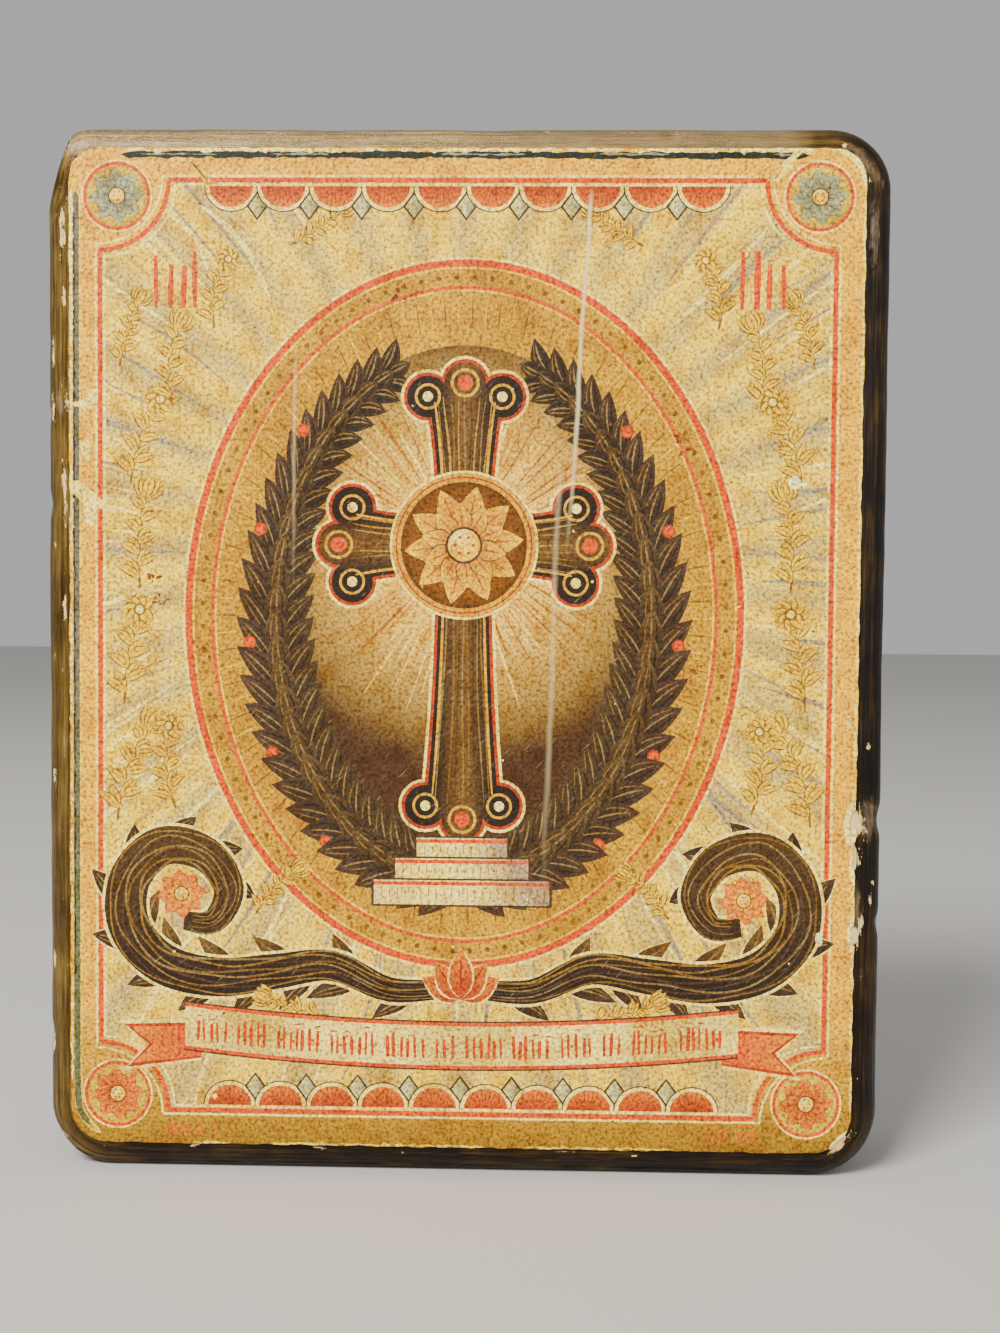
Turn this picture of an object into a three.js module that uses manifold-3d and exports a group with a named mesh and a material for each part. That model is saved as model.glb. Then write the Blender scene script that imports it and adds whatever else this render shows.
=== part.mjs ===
// A small devotional panel: a hand-rounded softwood board, painted dull bronze on its edges, with a
// printed and varnished paper sheet glued to its front. It stands on its lower edge, facing -Y.
// Millimetres, +Z up. The origin is under the middle of the whole panel, on the surface it stands on.

import * as THREE from "three";
import { mergeVertices } from "three/addons/utils/BufferGeometryUtils.js";
import Module from "manifold-3d";

const wasm = await Module();
wasm.setup();

// The board
const boardWidth = 130;
const boardHeight = 162;
const boardThickness = 25;
const frontRoundover = 4.6; // how far in from the edge the front arris is rounded over
const frontRoundoverDepth = 3; // and how far back: it was rounded by hand, flatter than a quarter circle
const backRoundover = 2.2; // the back arris is only eased
const cornerTopRight = 9.5;
const cornerBottomRight = 10.5;
const cornerBottomLeft = 10;

// The top left corner has been worn to a slanting facet, which takes much of the roundover with it
const facetAcross = 4.4; // how far the facet runs in along the top edge
const facetDown = 12.8; // how far it runs down the left edge
const facetRoundover = 2.6; // what is left of the front arris along it
const facetTopRadius = 4.8;
const facetSideRadius = 14;
const flatFacetTopRadius = 3.2; // the same two corners where the flat front begins
const flatFacetSideRadius = 3.6;

// The printed sheet, glued to the front and varnished over; all round it laps a little over the roundover
const sheetThickness = 0.3;
const sheetInsetLeft = 3.9;
const sheetInsetTop = 3.6;
const sheetInsetRight = 4.3;
const sheetInsetBottom = 4.2;
const sheetCornerTopLeft = 4.5;
const sheetCornerTopRight = 4.8;
const sheetCornerBottomRight = 6.2;
const sheetCornerBottomLeft = 6;

// Places where the sheet is chipped away: ellipses, measured in from the board's right and lower edges
const cutDepth = sheetThickness * 4; // deeper than the sheet, so that each bite goes right through it
const losses = [
  { fromRight: 4.3, fromBottom: 55.6, across: 1.3, along: 2.7, turn: 0 }, // the large bite in the right side
  { fromRight: 4.3, fromBottom: 50.4, across: 0.6, along: 3.2, turn: 0 }, // and its thin tail
  { fromRight: 4.3, fromBottom: 38.4, across: 0.8, along: 1.9, turn: 0 },
  { fromRight: 6.1, fromBottom: 5.9, across: 0.6, along: 2.3, turn: 42 }, // the crescent at the lower right
];

// How finely round things are drawn
const cornerSteps = 10;
const roundoverSteps = 6;
const lossSides = 20;
const fullestFillet = 0.98; // how much of a short side the fillets at its two ends may take up

const halfDepth = (boardThickness + sheetThickness) / 2;
const sheetFront = -halfDepth;
const boardFront = sheetFront + sheetThickness;
const boardBack = halfDepth;
const boardLeft = -boardWidth / 2;
const boardRight = boardWidth / 2;

// The board's corners, counter-clockwise seen from the front. Each has its radius at the outline and the
// one that it has narrowed to where the flat front begins, and says how wide the side after it rounds over.
const boardCorners = [
  { x: boardLeft, z: 0, radius: cornerBottomLeft },
  { x: boardRight, z: 0, radius: cornerBottomRight },
  { x: boardRight, z: boardHeight, radius: cornerTopRight },
  {
    x: boardLeft + facetAcross,
    z: boardHeight,
    radius: facetTopRadius,
    flatRadius: flatFacetTopRadius,
    roundover: facetRoundover,
  },
  {
    x: boardLeft,
    z: boardHeight - facetDown,
    radius: facetSideRadius,
    flatRadius: flatFacetSideRadius,
  },
];

// Moves side i, from corner i to the next, inwards by insets[i], and gives where the sides meet again.
function insetCorners(corners, insets) {
  const count = corners.length;
  const sides = corners.map((corner, i) => {
    const next = corners[(i + 1) % count];
    const length = Math.hypot(next.x - corner.x, next.z - corner.z);
    const along = { x: (next.x - corner.x) / length, z: (next.z - corner.z) / length };
    const start = { x: corner.x - along.z * insets[i], z: corner.z + along.x * insets[i] };
    return { start, along };
  });
  return corners.map((corner, i) => {
    const before = sides[(i + count - 1) % count];
    const after = sides[i];
    const cross = before.along.x * after.along.z - before.along.z * after.along.x;
    const dx = after.start.x - before.start.x;
    const dz = after.start.z - before.start.z;
    const reach = (dx * after.along.z - dz * after.along.x) / cross;
    return { x: before.start.x + before.along.x * reach, z: before.start.z + before.along.z * reach };
  });
}

// A closed loop of points in which each corner is an arc of its own radius. Where a side is too short for
// the arcs at its two ends, both are made smaller until they just fit.
function roundedLoop(corners, radii) {
  const count = corners.length;
  const bends = corners.map((corner, i) => {
    const before = corners[(i + count - 1) % count];
    const after = corners[(i + 1) % count];
    const into = new THREE.Vector2(corner.x - before.x, corner.z - before.z);
    const out = new THREE.Vector2(after.x - corner.x, after.z - corner.z);
    const side = out.length();
    const turn = Math.acos(THREE.MathUtils.clamp(into.normalize().dot(out.normalize()), -1, 1));
    return { into, turn, side, tangent: radii[i] * Math.tan(turn / 2) };
  });
  const room = bends.map((bend, i) => {
    const needed = bend.tangent + bends[(i + 1) % count].tangent;
    return Math.min(1, (bend.side * fullestFillet) / needed);
  });
  const ends = bends.map(({ into, turn, tangent }, i) => {
    const share = Math.min(room[i], room[(i + count - 1) % count]);
    const corner = new THREE.Vector2(corners[i].x, corners[i].z);
    const begin = corner.addScaledVector(into, -tangent * share);
    const inward = new THREE.Vector2(-into.y, into.x);
    const centre = begin.clone().addScaledVector(inward, radii[i] * share);
    return { begin, centre, turn };
  });
  return ends.flatMap(({ begin, centre, turn }) =>
    Array.from({ length: cornerSteps + 1 }, (_, step) =>
      begin.clone().rotateAround(centre, (turn * step) / cornerSteps),
    ),
  );
}

// The board's outline, moved in by a share of the way across a roundover of the given width.
function boardLoop(share, width) {
  const insets = boardCorners.map((corner) => share * Math.min(width, corner.roundover ?? width));
  const radii = boardCorners.map((corner) => {
    const flat = corner.flatRadius ?? corner.radius - frontRoundover;
    return THREE.MathUtils.lerp(corner.radius, flat, (share * width) / frontRoundover);
  });
  return roundedLoop(insetCorners(boardCorners, insets), radii);
}

// Skins a stack of loops with equal numbers of points, the front one first, and caps both its ends.
function loftedSolid(rings) {
  const count = rings[0].loop.length;
  const positions = [];
  rings.forEach(({ loop, y }) => loop.forEach((point) => positions.push(point.x, y, point.y)));
  const index = [];
  for (let ring = 0; ring < rings.length - 1; ring++) {
    for (let i = 0; i < count; i++) {
      const a = ring * count + i;
      const b = ring * count + ((i + 1) % count);
      index.push(a, a + count, b, b, a + count, b + count);
    }
  }
  const cap = THREE.ShapeUtils.triangulateShape(rings[0].loop, []);
  const back = (rings.length - 1) * count;
  cap.forEach(([a, b, c]) => {
    index.push(a, b, c);
    index.push(back + a, back + c, back + b);
  });
  const geometry = new THREE.BufferGeometry();
  geometry.setAttribute("position", new THREE.Float32BufferAttribute(positions, 3));
  geometry.setIndex(index);
  geometry.computeVertexNormals();
  return geometry;
}

// A closed mesh as a solid that can be cut.
function toSolid(geometry) {
  const bare = geometry.clone();
  bare.deleteAttribute("normal");
  bare.deleteAttribute("uv");
  const merged = mergeVertices(bare, 1e-4);
  return new wasm.Manifold(
    new wasm.Mesh({
      numProp: 3,
      vertProperties: merged.getAttribute("position").array,
      triVerts: new Uint32Array(merged.index.array),
    }),
  );
}

// A cut solid back as a mesh that three.js can draw.
function toGeometry(solid) {
  const cut = solid.getMesh();
  const geometry = new THREE.BufferGeometry();
  geometry.setAttribute("position", new THREE.BufferAttribute(cut.vertProperties, cut.numProp));
  geometry.setIndex(new THREE.BufferAttribute(cut.triVerts, 1));
  geometry.computeVertexNormals();
  return geometry;
}

// The board: its front arris is a flattened quarter round, its back arris a smaller, true one.
function board() {
  const rings = [];
  for (let step = 0; step <= roundoverSteps; step++) {
    const angle = ((Math.PI / 2) * step) / roundoverSteps;
    rings.push({
      loop: boardLoop(1 - Math.sin(angle), frontRoundover),
      y: boardFront + frontRoundoverDepth * (1 - Math.cos(angle)),
    });
  }
  for (let step = 0; step <= roundoverSteps; step++) {
    const angle = ((Math.PI / 2) * step) / roundoverSteps;
    rings.push({
      loop: boardLoop(1 - Math.cos(angle), backRoundover),
      y: boardBack - backRoundover * (1 - Math.sin(angle)),
    });
  }
  return loftedSolid(rings);
}

// One bite out of the sheet: an elliptical plug that passes right through it.
function bite({ fromRight, fromBottom, across, along, turn }) {
  const plug = new THREE.CylinderGeometry(1, 1, cutDepth, lossSides);
  plug.scale(across, 1, along);
  plug.rotateY(THREE.MathUtils.degToRad(turn));
  plug.translate(boardRight - fromRight, sheetFront + sheetThickness / 2, fromBottom);
  return toSolid(plug);
}

// The sheet: a rounded oblong, cut closer to the board's edge at the left and top, less its losses.
function sheet() {
  const left = boardLeft + sheetInsetLeft;
  const right = boardRight - sheetInsetRight;
  const top = boardHeight - sheetInsetTop;
  const corners = [
    { x: left, z: sheetInsetBottom },
    { x: right, z: sheetInsetBottom },
    { x: right, z: top },
    { x: left, z: top },
  ];
  const radii = [
    sheetCornerBottomLeft,
    sheetCornerBottomRight,
    sheetCornerTopRight,
    sheetCornerTopLeft,
  ];
  const loop = roundedLoop(corners, radii);
  const whole = toSolid(
    loftedSolid([
      { loop, y: sheetFront },
      { loop, y: boardFront },
    ]),
  );
  return toGeometry(losses.reduce((left, loss) => left.subtract(bite(loss)), whole));
}

// A named mesh with its own plain material.
function piece(name, geometry, color, roughness, metalness) {
  const mesh = new THREE.Mesh(
    geometry,
    new THREE.MeshStandardMaterial({ color, roughness, metalness }),
  );
  mesh.name = name;
  return mesh;
}

const panel = new THREE.Group();
panel.add(piece("wooden_board", board(), 0x7d6130, 0.45, 0.35));
panel.add(piece("printed_sheet", sheet(), 0xd2ab62, 0.35, 0));

export default panel;
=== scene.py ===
# %% [markdown]
# # An old devotional panel
#
# The real object is a thick softwood board, rounded by hand, painted dull bronze round its edges, with
# a paper print glued to its face under yellowed varnish. This lesson dresses its two solids: first the
# camera, then the board and its paint, then the print, which is drawn here from curves, then the room.

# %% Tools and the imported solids
import math
import random

import bmesh
import bpy
import numpy as np
from mathutils import Matrix, Vector, noise
from mathutils.geometry import delaunay_2d_cdt


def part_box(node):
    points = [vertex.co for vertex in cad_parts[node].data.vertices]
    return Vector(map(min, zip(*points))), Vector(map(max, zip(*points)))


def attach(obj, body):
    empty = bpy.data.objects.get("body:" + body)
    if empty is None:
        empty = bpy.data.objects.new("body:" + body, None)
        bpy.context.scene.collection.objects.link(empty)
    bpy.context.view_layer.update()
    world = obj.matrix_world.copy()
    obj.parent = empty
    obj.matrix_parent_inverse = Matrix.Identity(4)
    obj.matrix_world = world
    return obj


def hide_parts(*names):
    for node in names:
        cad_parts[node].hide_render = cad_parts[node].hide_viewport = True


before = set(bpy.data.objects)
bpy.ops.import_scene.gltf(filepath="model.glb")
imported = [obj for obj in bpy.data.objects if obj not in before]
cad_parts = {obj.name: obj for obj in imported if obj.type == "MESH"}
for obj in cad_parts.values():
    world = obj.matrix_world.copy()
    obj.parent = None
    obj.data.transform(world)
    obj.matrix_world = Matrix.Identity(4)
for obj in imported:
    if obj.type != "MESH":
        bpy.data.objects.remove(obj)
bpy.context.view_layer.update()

# %% Sizes in millimetres, colours in hex
MM = 0.001
(board_left, board_front, board_foot), (board_right, board_back, board_top) = (
    np.array(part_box("wooden_board")) / MM
)
(sheet_left, sheet_front, sheet_foot), (sheet_right, sheet_back, sheet_top) = (
    np.array(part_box("printed_sheet")) / MM
)
print("board", board_right - board_left, "x", board_top - board_foot, "mm")


def linear(code):
    """An sRGB hex colour as the linear red, green and blue that Blender works in."""
    channels = [int(code[i : i + 2], 16) / 255 for i in (1, 3, 5)]
    return [c / 12.92 if c <= 0.04045 else ((c + 0.055) / 1.055) ** 2.4 for c in channels]


# %% [markdown]
# ## The camera
#
# A hand-held picture is rarely quite square. The four edges of the panel were measured and a pinhole
# camera was fitted to them: a little above the middle, looking down two degrees, and barely rolled.
# The camera's axes are built from those three angles, so that no constraint or target is needed.

# %% Camera
FOCAL_PIXELS, FRAME_WIDTH, SENSOR = 1500, 1000, 36
CAMERA_AT = (11.18, -243.32, 88.15)
yaw, pitch, roll = (math.radians(a) for a in (-1.365, -2.164, 0.475))
forward = Vector((math.sin(yaw) * math.cos(pitch), math.cos(yaw) * math.cos(pitch), math.sin(pitch)))
level = forward.cross(Vector((0, 0, 1))).normalized()
right = Matrix.Rotation(-roll, 3, forward) @ level
camera = bpy.data.objects.new("camera", bpy.data.cameras.new("camera"))
camera.data.sensor_fit = "HORIZONTAL"
camera.data.sensor_width = SENSOR
camera.data.lens = FOCAL_PIXELS / FRAME_WIDTH * SENSOR
axes = Matrix((right, right.cross(forward), -forward)).transposed().to_4x4()
camera.matrix_world = Matrix.Translation(Vector(CAMERA_AT) * MM) @ axes
bpy.context.scene.collection.objects.link(camera)
bpy.context.scene.camera = camera
print("camera at", [round(c, 4) for c in camera.location])

# %% [markdown]
# ## The board
#
# A maker saws the blank square, rounds its corners, softens the arrises and sands it by eye. The mesh
# goes through the same steps: a cube, a bevel on each corner with that corner's own radius, one bevel
# for the front arris and one for the back. The front one is then pressed flatter, as it was rasped.

# %% Blank with rounded corners
board = bmesh.new()
bmesh.ops.create_cube(board, size=1)
size = Vector((board_right - board_left, board_back - board_front, board_top - board_foot))
bmesh.ops.scale(board, vec=size, verts=board.verts)
bmesh.ops.translate(board, vec=(0, (board_front + board_back) / 2, size.z / 2), verts=board.verts)

CORNERS = {(-1, -1): 10, (1, -1): 10.5, (1, 1): 9.5, (-1, 1): 7}


def bevel(mesh, edges, offset, segments):
    """Rounds some edges over by the same width."""
    bmesh.ops.bevel(
        mesh,
        geom=edges,
        offset=offset,
        offset_type="OFFSET",
        segments=segments,
        profile=0.5,
        affect="EDGES",
        material=-1,
        clamp_overlap=False,
    )


for (side, end), radius in CORNERS.items():
    corner = [
        e
        for e in board.edges
        if all(v.co.x * side > 0 and (v.co.z - size.z / 2) * end > 0 for v in e.verts)
        and abs(e.verts[0].co.y - e.verts[1].co.y) > size.y / 2
    ]
    bevel(board, corner, radius, 12)
print("blank:", len(board.faces), "faces")

# %% Rounding over the arrises
FRONT_WIDTH, FRONT_DEPTH, BACK_ARRIS = 4.6, 3.0, 2.2


def rim(y):
    return [e for e in board.edges if all(abs(v.co.y - y) < 1e-4 for v in e.verts)]


bevel(board, rim(board_front), FRONT_WIDTH, 10)
bevel(board, rim(board_back), BACK_ARRIS, 5)
for v in board.verts:
    behind = v.co.y - board_front
    if behind < FRONT_WIDTH + 1e-4:
        v.co.y = board_front + behind * FRONT_DEPTH / FRONT_WIDTH

# %% [markdown]
# The top left corner has been knocked or shaved off at a slant. A plane cuts it, the cut is closed with
# one face, and a small bevel wears the new arris smooth.

# %% Worn corner
FACET_ACROSS, FACET_DOWN = 4.4, 12.8
facet_foot = Vector((board_left, 0, board_top - FACET_DOWN))
facet_out = Vector((-FACET_DOWN, 0, FACET_ACROSS)).normalized()
everything = board.verts[:] + board.edges[:] + board.faces[:]
cut = bmesh.ops.bisect_plane(
    board, geom=everything, plane_co=facet_foot, plane_no=facet_out, clear_outer=True
)
cut_edges = [g for g in cut["geom_cut"] if isinstance(g, bmesh.types.BMEdge)]
bmesh.ops.contextual_create(board, geom=cut_edges)
bevel(board, cut_edges, 0.3, 2)
print("after the facet:", len(board.faces), "faces")

# %% [markdown]
# Dents, chips and brush marks need small, even faces. Slicing the rim by a row of planes each way gives
# a regular net without touching its shape. The flat front and back are inset first and left whole: the
# print hides one and the other is planed. Every point of the net then moves a little, because nothing
# sanded by hand is flat: broad waves, smaller lumps, and a few dents where it was knocked.

# %% Slices across the rim
NET, FLAT_INSET, DOUBLES = 0.8, 1.6, 0.004
flats = [f for f in board.faces if abs(f.normal.y) > 0.999 and f.calc_area() > 1000]
bmesh.ops.inset_region(board, faces=flats, thickness=FLAT_INSET, use_even_offset=True)
for axis, low, high in ((0, board_left, board_right), (1, board_front, board_back), (2, 0, board_top)):
    normal = Vector([1.0 if i == axis else 0.0 for i in range(3)])
    steps = int((high - low) / NET / (2 if axis == 1 else 1))
    for i in range(1, steps):
        net = board.verts[:] + board.edges[:] + [f for f in board.faces if f not in flats]
        place = normal * (low + (high - low) * i / steps)
        bmesh.ops.bisect_plane(board, geom=net, plane_co=place, plane_no=normal)
bmesh.ops.remove_doubles(board, verts=board.verts, dist=DOUBLES)
bmesh.ops.triangulate(board, faces=[f for f in board.faces if len(f.verts) > 4])
bmesh.ops.recalc_face_normals(board, faces=board.faces)
if board.calc_volume(signed=True) < 0:
    bmesh.ops.reverse_faces(board, faces=board.faces)
board.normal_update()
print("net:", len(board.faces), "faces,", round(board.calc_volume() / 1000), "cubic cm")
print("open edges:", sum(not e.is_manifold for e in board.edges))

# %% Hand-made unevenness and dents
DENTS = (  # where, radius, depth
    ((65, -9.5, 56), 3.0, 0.5),
    ((64.5, -8, 49), 1.6, 0.3),
    ((64.8, -10, 40), 2.2, 0.35),
    ((63.5, -11, 152), 2.4, 0.3),
    ((59, -11, 158), 1.8, 0.25),
    ((-65, -9.5, 118), 1.7, 0.3),
    ((-64.5, -10, 104), 2.6, 0.35),
    ((-64.6, -10, 21), 2.4, 0.3),
    ((-62, -10.5, 6), 2.6, 0.35),
    ((-20, -11, 161.5), 1.8, 0.2),
    ((31, -11.5, 161), 2.2, 0.25),
    ((18, -11.5, 1.0), 2.4, 0.2),
    ((58, -11, 4), 2.5, 0.3),
)
FOOT_TALL, PLANE_GAP, FACET_HOLD = 3, 0.02, 2  # what stays true: the foot, both faces, the shaved corner
for v in board.verts:
    p = v.co
    wave = 0.14 * noise.noise(p * 0.045) + 0.07 * noise.noise(p * 0.22 + Vector((7, 0, 0)))
    wave += 0.05 * noise.noise(Vector((p.x * 0.12, p.y * 0.9, p.z * 0.12)))
    for where, radius, depth in DENTS:
        near = (p - Vector(where)).length / radius
        if near < 1:
            wave -= depth * (1 - near * near) ** 2
    standing = p.z < FOOT_TALL and abs(v.normal.z) > 0.7
    flat_front = p.y < board_front + PLANE_GAP
    planed_back = p.y > board_back - PLANE_GAP
    hold = 0.0 if standing or flat_front or planed_back else 1.0
    hold *= min(1.0, abs((facet_foot - p).dot(facet_out)) / FACET_HOLD)
    v.co = p + v.normal * (wave - 0.08) * hold

# %% [markdown]
# Brush marks run along the edge, round every corner, so the paint needs to know how far along the rim
# and how far across it each point lies. Both are worked out here and stored on the faces' corners.
# A corner attribute may jump where the run starts again; a point attribute would smear there. A second
# one holds where chips are, where the scraped patches are, and the painted light and shade on each side.

# %% Run and depth of the rim
HALF = (board_right, board_top / 2)
PERIMETER = 4 * (HALF[0] + HALF[1])


def run_along(p):
    """How far along the rim a point is, in mm, going round a rectangle from the foot's middle."""
    x, z = p.x, p.z - HALF[1]
    over = max(abs(x) / HALF[0], abs(z) / HALF[1], 1e-6)
    x, z = x / over, z / over
    if z <= -HALF[1] + 1e-4:
        return x if x >= 0 else PERIMETER + x
    if x >= HALF[0] - 1e-4:
        return HALF[0] + z + HALF[1]
    if z >= HALF[1] - 1e-4:
        return HALF[0] + 2 * HALF[1] + HALF[0] - x
    return 3 * HALF[0] + 2 * HALF[1] + HALF[1] - z


def inset(p):
    """How far inside the board's outline a point is, seen from the front."""
    x, z = p.x, p.z - HALF[1]
    radius = CORNERS[(1 if x > 0 else -1, 1 if z > 0 else -1)]
    qx, qz = abs(x) - HALF[0] + radius, abs(z) - HALF[1] + radius
    outside = math.hypot(max(qx, 0), max(qz, 0)) + min(max(qx, qz), 0) - radius
    return min(-outside, (facet_foot - p).dot(facet_out))


# %% Chips, scrapes, and the painted light and shade of the sides
# Each mark: its middle across and up, its half-sizes, and its turn in degrees, seen from the front.
CHIPS = (
    (-61.9, 105.5, 0.45, 6.5, 2), (-61.6, 119.8, 0.7, 1.6, 0), (-63.9, 128, 0.4, 3.5, 0),
    (-63.9, 119, 0.4, 2.4, 3), (-62.2, 146, 0.6, 5, 0), (-62, 136, 0.45, 3, 0), (-61.9, 88, 0.4, 2.8, 0),
    (-63.6, 97.5, 0.5, 0.6, 0), (-63.8, 61, 0.35, 2.2, 4), (-64, 33, 0.4, 1.8, 0),
    (-64.2, 19, 0.35, 2.4, 0), (-60.2, 11, 0.6, 0.6, 0), (-57.9, 7.1, 0.7, 0.7, 0),
    (-56.2, 5.7, 1.2, 0.55, -35), (-41.5, 3.9, 1.3, 0.4, 8), (-62.5, 4.6, 0.9, 0.35, -45),
    (-56.5, 160.6, 0.4, 0.4, 0), (-30, 160.9, 1.4, 0.3, 0), (12, 161.2, 1, 0.25, 0),
    (57.2, 158.9, 0.45, 0.45, 0), (60.6, 154, 0.9, 0.4, -50), (62.4, 67.5, 0.5, 0.7, 0),
    (63.2, 44, 0.3, 1.4, 0),
    (61.9, 41, 0.35, 2.2, 0), (62, 32.5, 0.3, 1.2, 0), (63.5, 46.5, 0.35, 0.5, 0),
    (61.7, 15.8, 0.45, 0.45, 0), (-22, 3.6, 1.6, 0.35, 0), (-9, 3.4, 0.7, 0.3, 0),
    (16, 3.7, 2, 0.35, 0), (27, 3.3, 0.6, 0.3, 0),
    (60.2, 55.6, 2.2, 4.2, 0), (60.2, 50.4, 1.4, 4, 0), (60.4, 38.4, 1.5, 2.8, 0),
    (58.7, 5.9, 1.2, 3.2, -42),
)
SCRAPES = (
    (62.8, 56.5, 1.6, 3.4, 0), (61, 42.5, 0.9, 5, 0), (-62.6, 119.5, 0.8, 2, 0),
    (60.6, 156, 1, 4.2, 42), (62, 146, 0.8, 5, 0),
)


def depth_inside(x, z, marks):
    """1 in the middle of a mark, 0 on its edge, less outside."""
    best = -1.0
    for cx, cz, across, along, turn in marks:
        c, s = math.cos(math.radians(turn)), math.sin(math.radians(turn))
        dx, dz = x - cx, z - cz
        best = max(best, 1 - math.hypot((dx * c + dz * s) / across, (dz * c - dx * s) / along))
    return best


def painted_light_and_shade(p):
    """Painted light and shade, partly rubbed and dirty paint: paler on the left and top, darker on the right
    and foot.
    """
    left_side = min(max((-p.x - 48) / 12, 0), 1)
    top_side = min(max((p.z - 152) / 7, 0), 1) * min(max((64 - p.x) / 16, 0.25), 1)
    foot = min(max((9 - p.z) / 9, 0), 1)
    return max(left_side * (0.64 - 0.3 * foot), top_side * 0.9) + 0.03


FLAT_FROM, FAR_INSIDE = 3.5, 60.0  # where the large flat faces begin, and the one inset they get
WEAR_DEPTH = 6  # how far back from the front the chips and scrapes reach
rim_layer = board.loops.layers.float_vector.new("rim")
wear_and_light_layer = board.loops.layers.float_vector.new("wear_and_light")
board.verts.index_update()
wear_and_painted_light = []
for v in board.verts:
    near_front = v.co.y < board_front + WEAR_DEPTH
    x, z = v.co.x, v.co.z
    marks = (depth_inside(x, z, CHIPS), depth_inside(x, z, SCRAPES)) if near_front else (-1, -1)
    # The third value is painted light and shade: the left and top lighter, the right and foot darker.
    wear_and_painted_light.append((*marks, painted_light_and_shade(v.co)))
for face in board.faces:
    runs = [run_along(loop.vert.co) for loop in face.loops]
    insets = [inset(loop.vert.co) for loop in face.loops]
    wraps = max(runs) - min(runs) > PERIMETER / 2
    if min(insets) > FLAT_FROM:
        runs, insets, wraps = [0.0] * len(runs), [FAR_INSIDE] * len(runs), False
    for loop, run, in_by in zip(face.loops, runs, insets):
        run += PERIMETER * (wraps and run < PERIMETER / 2)
        loop[rim_layer] = (run, in_by, loop.vert.co.y - board_front)
        loop[wear_and_light_layer] = wear_and_painted_light[loop.vert.index]
    face.smooth = True


# %% The board as a piece
def as_object(name, mesh):
    """Puts a bmesh into the scene as an object."""
    data = bpy.data.meshes.new(name)
    mesh.to_mesh(data)
    mesh.free()
    made = bpy.data.objects.new(name, data)
    bpy.context.scene.collection.objects.link(made)
    return made


def finished(name, mesh, node):
    """Makes a bmesh in millimetres the piece that stands for one of the solids."""
    bmesh.ops.scale(mesh, vec=(MM,) * 3, verts=mesh.verts)
    piece = as_object(name, mesh)
    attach(piece, "root")
    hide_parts(node)
    print(name, sum(len(p.vertices) - 2 for p in piece.data.polygons), "triangles")
    return piece
    return piece


board_piece = finished("board", board, "wooden_board")

# %% [markdown]
# ## Bronze paint over primed softwood
#
# Bronze paint is brass powder in oil. When it ages it turns brown and the varnish over it makes it
# glossy. What the eye reads is long brush streaks along the edge, a lighter olive on the left and top
# that is painted light, partly rubbed by hands, a near black brown on the right and foot that is painted
# shade with some dirt, bright painted glints on the lit sides, and cream primer where it has flaked.

# %% A helper for nodes
def add(tree, kind, inputs=(), stops=(), **settings):
    """Adds one node with its settings and links, and gives its outputs.

    Inputs are sockets, plain values or hex colours, in the node's order or by name. Stops pair places
    on a colour ramp, from 0 to 1, with hex colours or grey levels.
    """
    node = tree.nodes.new("ShaderNode" + kind)
    for name, value in settings.items():
        setattr(node, name, value)
    for name, value in inputs.items() if isinstance(inputs, dict) else enumerate(inputs):
        if isinstance(value, bpy.types.NodeSocket):
            tree.links.new(value, node.inputs[name])
        else:
            node.inputs[name].default_value = (*linear(value), 1) if isinstance(value, str) else value
    if stops:
        marks = node.color_ramp.elements
        while len(marks) < len(stops):
            marks.new(1)
        for mark, (place, shade) in zip(marks, stops):
            mark.position = place
            mark.color = (*linear(shade), 1) if isinstance(shade, str) else (shade, shade, shade, 1)
    return node.outputs


def material(name):
    made = bpy.data.materials.new(name)
    made.use_nodes = True
    made.node_tree.nodes.clear()
    return made, made.node_tree


# %% Bronze paint: streaks and tone
bronze, tree = material("aged_bronze_paint_on_softwood")
rim_at = add(tree, "Attribute", attribute_name="rim")["Vector"]
across_rim = add(tree, "SeparateXYZ", (rim_at,))
wear_and_light_at = add(tree, "Attribute", attribute_name="wear_and_light")["Vector"]
wear_and_light = add(tree, "SeparateXYZ", (wear_and_light_at,))
place = add(tree, "TexCoord")["Object"]

# Noise scales are grains a millimetre along the rim, and grains a metre on Object coordinates.
# Streaks: 30 mm long and half a millimetre wide, with shorter, finer ones among them.
streaks = 0.0
for stretch, detail, roughness, share in (
    ((0.035, 1.5, 1.5), 5.0, 0.65, 0.9),
    ((0.16, 2.6, 2.6), 4.0, 0.6, 0.5),
):
    at = add(tree, "Mapping", {"Vector": rim_at, "Scale": stretch})[0]
    grain = {"Vector": at, "Scale": 1.0, "Detail": detail, "Roughness": roughness}
    brushed = add(tree, "TexNoise", grain)[0]
    streaks = add(tree, "Math", (brushed, share, streaks), operation="MULTIPLY_ADD")[0]
blotches = add(tree, "TexNoise", {"Vector": place, "Scale": 110.0, "Detail": 4.0, "Roughness": 0.6})[0]
tone = -1.145  # centres the sum of the three on the ramp
# The third share is painted light and shade: it makes the lit left and top paler, the right and foot darker.
for value, share in ((streaks, 1.35), (blotches, 0.7), (wear_and_light["Z"], 0.62)):
    tone = add(tree, "Math", (value, share, tone), operation="MULTIPLY_ADD")[0]
BRONZE = (
    (0.0, "#0e0804"), (0.2, "#251708"), (0.42, "#4e380f"),
    (0.62, "#745a20"), (0.82, "#93763a"), (1.0, "#bfa563"),
)
surface = add(tree, "ValToRGB", (tone,), BRONZE)[0]

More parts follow.
